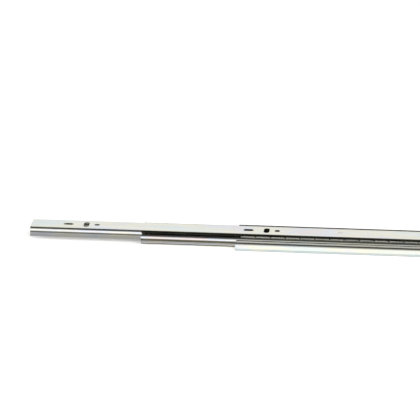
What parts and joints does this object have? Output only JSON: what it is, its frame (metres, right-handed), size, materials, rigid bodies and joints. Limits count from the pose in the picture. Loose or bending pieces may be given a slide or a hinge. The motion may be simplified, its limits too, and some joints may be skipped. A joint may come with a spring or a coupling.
{
  "type": "cabinet drawer slide",
  "caption": "Full-extension ball-bearing slide for the side of a cabinet drawer, with telescoping steel members, bendable fixing tongues and a release lever.",
  "frame": {"origin": "on the centre line of the cabinet member's mounting face, midway along that member", "axes": "+X along the slide towards the back of the cabinet, so the drawer comes out towards -X; +Y across the slide; +Z from the cabinet's side towards the drawer"},
  "size_m": [0.633, 0.045, 0.0127],
  "materials": {
    "zinc_steel": "bright zinc plate",
    "cage_steel": "plain strip, oiled",
    "ball_steel": "polished",
    "rubber": "matt",
    "lever_plastic": "moulded, fine texture",
    "rivet_steel": "zinc plate"
  },
  "bodies": {
    "cabinet": {"cabinet_member": "zinc_steel", "rear_bumper": "rubber"},
    "outer_bearing": {"outer_cage": "cage_steel", "outer_balls_left": "ball_steel", "outer_balls_right": "ball_steel"},
    "middle": {"middle_member": "zinc_steel", "front_bumper": "rubber"},
    "inner_bearing": {"inner_cage": "cage_steel", "inner_balls_left": "ball_steel", "inner_balls_right": "ball_steel"},
    "drawer": {"drawer_member": "zinc_steel", "lever_rivet": "rivet_steel"},
    "lever": {"release_lever": "lever_plastic"}
  },
  "joints": [
    {"name": "middle_slide", "type": "slide", "parent": "cabinet", "child": "middle", "axis": [-1, 0, 0], "range_m": [-0.086, 0.139]},
    {"name": "outer_bearing_slide", "type": "slide", "parent": "cabinet", "child": "outer_bearing", "axis": [-1, 0, 0], "range_m": [-0.043, 0.0695]},
    {"name": "drawer_slide", "type": "slide", "parent": "middle", "child": "drawer", "axis": [-1, 0, 0], "range_m": [-0.097, 0.128]},
    {"name": "inner_bearing_slide", "type": "slide", "parent": "middle", "child": "inner_bearing", "axis": [-1, 0, 0], "range_m": [-0.0485, 0.064]},
    {"name": "lever_pivot", "type": "hinge", "parent": "drawer", "child": "lever", "pos_m": [-0.134, 0, 0.00975], "axis": [0, 0, -1], "range_deg": [0, 5], "stiffness_Nm_per_rad": 0.02}
  ],
  "couplings": [
    {"joint": "outer_bearing_slide", "follows": "middle_slide", "ratio": 0.5},
    {"joint": "inner_bearing_slide", "follows": "drawer_slide", "ratio": 0.5}
  ]
}
